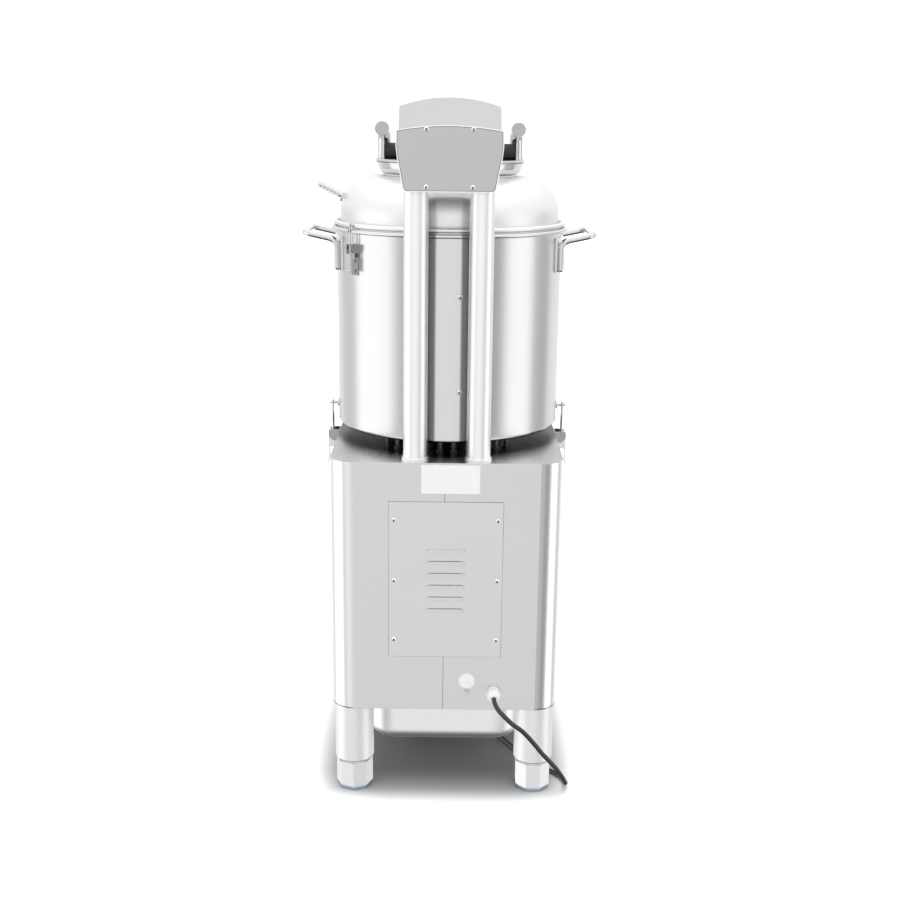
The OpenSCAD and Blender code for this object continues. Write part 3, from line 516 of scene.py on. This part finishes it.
def lathe(bm, profile, frame_m, seg=48, mat=0, closed=False):
    """Turns (radius, height) pairs about the z axis of frame_m. A radius of 0 at either end closes it."""
    rings = []
    for r, h in profile:
        if r <= 1e-9:
            rings.append([bm.verts.new(frame_m @ Vector((0, 0, h)))])
        else:
            rings.append([bm.verts.new(frame_m @ Vector((r * math.cos(2 * math.pi * k / seg), r * math.sin(2 * math.pi * k / seg), h))) for k in range(seg)])
    pairs = list(zip(rings, rings[1:])) + ([(rings[-1], rings[0])] if closed else [])
    for a, b in pairs:
        for k in range(seg):
            j = (k + 1) % seg
            if len(a) == 1 and len(b) == 1:
                continue
            if len(a) == 1:
                f = bm.faces.new((a[0], b[k], b[j]))
            elif len(b) == 1:
                f = bm.faces.new((a[k], a[j], b[0]))
            else:
                f = bm.faces.new((a[k], a[j], b[j], b[k]))
            f.material_index = mat


def at(origin, z_dir, x_dir=None):
    """A frame whose z axis points along z_dir."""
    z = Vector(z_dir).normalized()
    x = Vector(x_dir) if x_dir is not None else (Vector((0, 0, 1)) if abs(z.z) < 0.9 else Vector((1, 0, 0)))
    y = z.cross(x).normalized()
    x = y.cross(z)
    m = Matrix((x, y, z)).transposed().to_4x4()
    m.translation = origin
    return m


# the plug: a moulded body with grip rings, and two bright pins
tip = P(24.25, -42, 19.4)
bm = bmesh.new()
F = at(tip, (0, 1, 0))
prof = [(0.0, 0.2), (3.9, 0.0), (4.6, 0.6)]
for k in range(5):  # ribbed strain relief
    y0 = 1.2 + k * 4.0
    r0 = 4.4 + k * 0.5
    prof += [(r0 + 0.5, y0), (r0 + 0.5, y0 + 2.2), (r0 - 0.5, y0 + 2.7), (r0 - 0.5, y0 + 3.6)]
prof += [(7.4, 21.6), (10.5, 22.4), (12.0, 23.6), (12.6, 26.0)]
prof += [(13.4, 28.6), (14.6, 31.5), (15.6, 34.0), (17.2, 38.2), (18.2, 39.6), (19.0, 41.0), (19.0, 43.2), (18.3, 43.7), (18.3, 45.1),
         (19.0, 45.6), (19.0, 47.4), (18.3, 47.9), (18.3, 49.3), (19.0, 49.8), (19.0, 54.6), (18.4, 55.7), (17.4, 56.0), (0.0, 56.0)]
lathe(bm, [(r * MM, h * MM) for r, h in prof], F, 64)
plug_body = add("plug_body", bm, rubber)
bm = bmesh.new()
for s in (-1, 1):
    G = at(tip + Vector((s * 9.5 * MM, 56 * MM, 0)), (0, 1, 0))
    lathe(bm, [(0, -1 * MM), (2.35 * MM, -1 * MM), (2.35 * MM, 16.6 * MM), (1.9 * MM, 18.2 * MM), (1.1 * MM, 18.9 * MM), (0, 19 * MM)], G, 24)
plug_pins = add("plug_pins", bm, bright)
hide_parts("plug")
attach(mains, "root")
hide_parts("cord_tube", "cord_coil")


# ------------------------------------------------------------------ small parts
def dome_head(bm, origin, direction, r, h, seg=20, mat=0, slot_w=0.0):
    """A domed rivet or screw head that stands on its origin."""
    F = at(origin, direction)
    pr = [(r, -0.4 * MM), (r, h * 0.25)]
    for k in range(1, 6):
        a = math.pi / 2 * k / 6
        pr.append((r * math.cos(a), h * 0.25 + h * 0.75 * math.sin(a)))
    pr.append((0, h))
    lathe(bm, pr, F, seg, mat)


# painted shade: dark discs stand in for the shade in the recesses in the middle of the screw and bolt heads
recess_painted_shade = plastic("recess dark", (0.03, 0.03, 0.031), 0.55, 900, 0.05, 0.1)
bm = bmesh.new()
for x in (-82.5, 82.5):
    for z in (278, 379, 480):
        lathe(bm, [(0, 0.0), (1.35 * MM, 0.0), (1.35 * MM, 1.3 * MM), (0.9 * MM, 1.42 * MM), (0, 1.42 * MM)], at(P(x, 238.0, z), (0, 1, 0)), 20)
for x in (-34.5, 34.5):
    for z in (995, 1078):
        lathe(bm, [(0, 0.0), (1.5 * MM, 0.0), (1.5 * MM, 1.3 * MM), (1.0 * MM, 1.42 * MM), (0, 1.42 * MM)], at(P(x, 241.3, z), (0, 1, 0)), 20)
for a, z in ((5.5, 826), (5.5, 676), (125, 826), (125, 676), (-125, 826), (-125, 676)):
    q = math.radians(a)
    u = Vector((-math.sin(q), math.cos(q), 0))
    lathe(bm, [(0, 0.0), (1.4 * MM, 0.0), (1.4 * MM, 1.0 * MM), (1.0 * MM, 1.1 * MM), (0, 1.1 * MM)], at(P(187 * u.x, 187 * u.y, z) + u * 2.8 * MM, u), 20)
screw_recesses = add("screw_recesses", bm, recess_painted_shade, "root")

# ------------------------------------------------------------------ control face
TILT = math.radians(10.1)
FACE = Matrix.Translation(P(0, 186, 1061)) @ Matrix.Rotation(math.radians(90) - TILT, 4, "X")


def on_face(x, y, z=0.0):
    """A point of the control face: x to the right, y up it, z out of it, in millimetres."""
    return FACE @ Vector((x * MM, y * MM, z * MM))


out_dir = (FACE.to_3x3() @ Vector((0, 0, 1))).normalized()
up_dir = (FACE.to_3x3() @ Vector((0, 1, 0))).normalized()
print_black = plastic("dial print", (0.03, 0.03, 0.032), 0.5, 1200, 0.02, 0.05)
print_white = plastic("pointer white", (0.85, 0.85, 0.84), 0.4, 1200, 0.02, 0.02)

# ring of marks round the timer knob, with plain numbers from 0 to 5
bm = bmesh.new()
for k in range(31):
    a = math.radians(-150 + 10 * k)
    major = k % 6 == 0
    r0, r1, hw = (22.2, 26.2, 0.45) if major else (22.2, 24.4, 0.22)
    c, sn = math.cos(a), math.sin(a)
    vs = []
    for zz in (0.02, 0.16):
        for rr, ww in ((r0, -hw), (r1, -hw), (r1, hw), (r0, hw)):
            vs.append(bm.verts.new(on_face(rr * sn + ww * c, 26 + rr * c - ww * sn, zz)))
    for q in ((3, 2, 1, 0), (4, 5, 6, 7), (0, 1, 5, 4), (1, 2, 6, 5), (2, 3, 7, 6), (3, 0, 4, 7)):
        bm.faces.new([vs[i] for i in q])
add("dial_marks", bm, print_black, "root")
for k in range(6):
    a = math.radians(-150 + 60 * k)
    tc = bpy.data.curves.new(f"dial_number_{k}", "FONT")
    tc.body = str(k)
    tc.size = 6.4 * MM
    tc.extrude = 0.06 * MM
    tc.align_x, tc.align_y = "CENTER", "CENTER"
    tc.materials.append(print_black)
    o = bpy.data.objects.new(f"dial_number_{k}", tc)
    scene.collection.objects.link(o)
    o.matrix_world = FACE @ Matrix.Translation((30.2 * MM * math.sin(a), (26 + 30.2 * math.cos(a)) * MM, 0.1 * MM))
    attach(o, "root")
# white pointer let into the knob, at 0 when the machine is off
bm = bmesh.new()
a = math.radians(-150)
c, sn = math.cos(a), math.sin(a)
vs = []
for zz in (17.6, 18.28):
    for rr, ww in ((3.5, -0.8), (14.2, -0.8), (14.2, 0.8), (3.5, 0.8)):
        vs.append(bm.verts.new(on_face(rr * sn + ww * c, 26 + rr * c - ww * sn, zz)))
for q in ((3, 2, 1, 0), (4, 5, 6, 7), (0, 1, 5, 4), (1, 2, 6, 5), (2, 3, 7, 6), (3, 0, 4, 7)):
    bm.faces.new([vs[i] for i in q])
add("knob_pointer", bm, print_white, "knob")
# a bright collar round the foot of the knob, and bezels round the two buttons
bm = bmesh.new()
for x in (-32, 32):
    lathe(bm, [(11.25 * MM, 0.0), (14.6 * MM, 0.0), (14.9 * MM, 0.5 * MM), (14.7 * MM, 3.6 * MM), (13.6 * MM, 4.9 * MM), (12.2 * MM, 5.2 * MM),
               (11.4 * MM, 4.7 * MM), (11.25 * MM, 4.0 * MM)], at(on_face(x, -30, 0), out_dir, up_dir), 64, closed=True)
add("button_bezels", bm, bright, "root")
bm = bmesh.new()
lathe(bm, [(17.9 * MM, 0.05 * MM), (21.6 * MM, 0.05 * MM), (21.6 * MM, 0.5 * MM), (20.4 * MM, 0.9 * MM), (17.9 * MM, 0.9 * MM)],
      at(on_face(0, 26, 0), out_dir, up_dir), 72, closed=True)
add("dial_collar", bm, bright, "root")

# ------------------------------------------------------------------ floor, light
bpy.ops.mesh.primitive_plane_add(size=30, location=(0, 0, -0.0002))
floor = bpy.context.object
floor.name = "floor"
m, t = material("studio floor")
n = t.noise(t.scaled((1, 1, 1)), 1.3, 2)
o = t.xyz()


def pool(x, y, y0, fade):
    """1 under a rectangle of the ground, fading out beyond it."""
    u = t.math("MAXIMUM", t.math("SUBTRACT", t.math("ABSOLUTE", o[0]), x), 0.0)
    v = t.math("MAXIMUM", t.math("SUBTRACT", t.math("ABSOLUTE", t.math("SUBTRACT", o[1], y0)), y), 0.0)
    away = t.math("SQRT", t.math("ADD", t.math("MULTIPLY", u, u), t.math("MULTIPLY", v, v)))
    return t.range(away, 0.0, fade, 1, 0, True)


# the shade gathers on the ground under the machine, with a faint rim of it round the legs
c = t.mix(n, (0.90, 0.90, 0.90), (0.92, 0.92, 0.92))
c = t.mix(t.math("MULTIPLY", pool(0.172, 0.190, 0.030, 0.060), 0.60), c, (0.16, 0.16, 0.16))
c = t.mix(pool(0.115, 0.122, 0.030, 0.135), c, (0.19, 0.19, 0.19))
t.set("Base Color", c)
t.set("Roughness", t.range(n, 0.3, 0.7, 0.85, 0.95))
t.b.inputs["Specular IOR Level"].default_value = 0.1
floor.data.materials.append(m)
floor.visible_glossy = False

world = bpy.data.worlds.new("studio")
scene.world = world
world.use_nodes = True
W = world.node_tree
W.nodes.clear()


class WTree(Tree):
    def __init__(self, nt):
        self.nt = nt
        self.co = self.new("ShaderNodeTexCoord").outputs["Generated"]


w = WTree(W)
d = w.xyz()
az = w.math("ARCTAN2", d[0], d[1])
el = w.math("ARCSINE", d[2])


def ramp(v, lo, hi, stops):
    """A curve of brightness over v, as (place in degrees, value)."""
    f = w.range(v, math.radians(lo), math.radians(hi), 0, 1)
    r = w.new("ShaderNodeValToRGB")
    w.link(f, r.inputs[0])
    cr = r.color_ramp
    cr.interpolation = "EASE"
    while len(cr.elements) > 1:
        cr.elements.remove(cr.elements[-1])
    for i, (x, g) in enumerate(stops):
        p = (x - lo) / (hi - lo)
        e = cr.elements[0] if i == 0 else cr.elements.new(p)
        e.position = p
        e.color = (g, g, g, 1)
    return r.outputs[0]


# level light: soft boxes either side of the camera, with darker gaps
level = ramp(az, -180, 180, [
    (-180, 0.85), (-146, 0.80), (-130, 0.80), (-119, 0.42), (-99, 0.50), (-91, 1.10), (-66, 1.10), (-50, 0.30), (-40, 0.45),
    (-14, 0.74), (0, 0.79), (14, 0.76), (27, 0.80), (40, 0.62), (48, 0.42), (64, 1.12), (105, 1.15), (112, 0.60), (134, 0.62), (150, 0.80), (180, 0.85)])
# light from above: a big overhead soft box with a darker frame
above = ramp(el, -90, 90, [(-90, 0.8), (5, 0.9), (14, 0.86), (21, 0.88), (29, 0.92), (37, 1.0), (60, 1.08), (90, 1.1)])
f = w.range(el, math.radians(-1), math.radians(9), 0, 1, True)
# little light comes back up from below, which gives tubes and handles their dark undersides
below = ramp(el, -90, 90, [(-90, 0.10), (-50, 0.14), (-36, 1.0), (90, 1.0)])
mul = w.new("ShaderNodeMix", data_type="RGBA")
mul.blend_type = "MULTIPLY"
mul.inputs[0].default_value = 1.0
w.link(level, mul.inputs[6])
w.link(below, mul.inputs[7])
colour = w.mix(f, mul.outputs[2], above)
lp = w.new("ShaderNodeLightPath")
seen = w.mix(lp.outputs["Is Camera Ray"], colour, (1.0, 1.0, 1.0))
bg = w.new("ShaderNodeBackground")
w.link(seen, bg.inputs[0])
bg.inputs[1].default_value = 1.0
wo = w.new("ShaderNodeOutputWorld")
w.link(bg.outputs[0], wo.inputs[0])


# a wide, soft light from overhead keeps the ground white up to its far end
l = bpy.data.lights.new("overhead", "SUN")
l.energy = 1.6
l.angle = math.radians(60)
sun = bpy.data.objects.new("overhead", l)
scene.collection.objects.link(sun)
sun.rotation_euler = (0, 0, 0)
sun.visible_glossy = False

scene.view_settings.view_transform = "Standard"
scene.view_settings.look = "None"
scene.view_settings.exposure = 0.35
scene.view_settings.gamma = 1.0
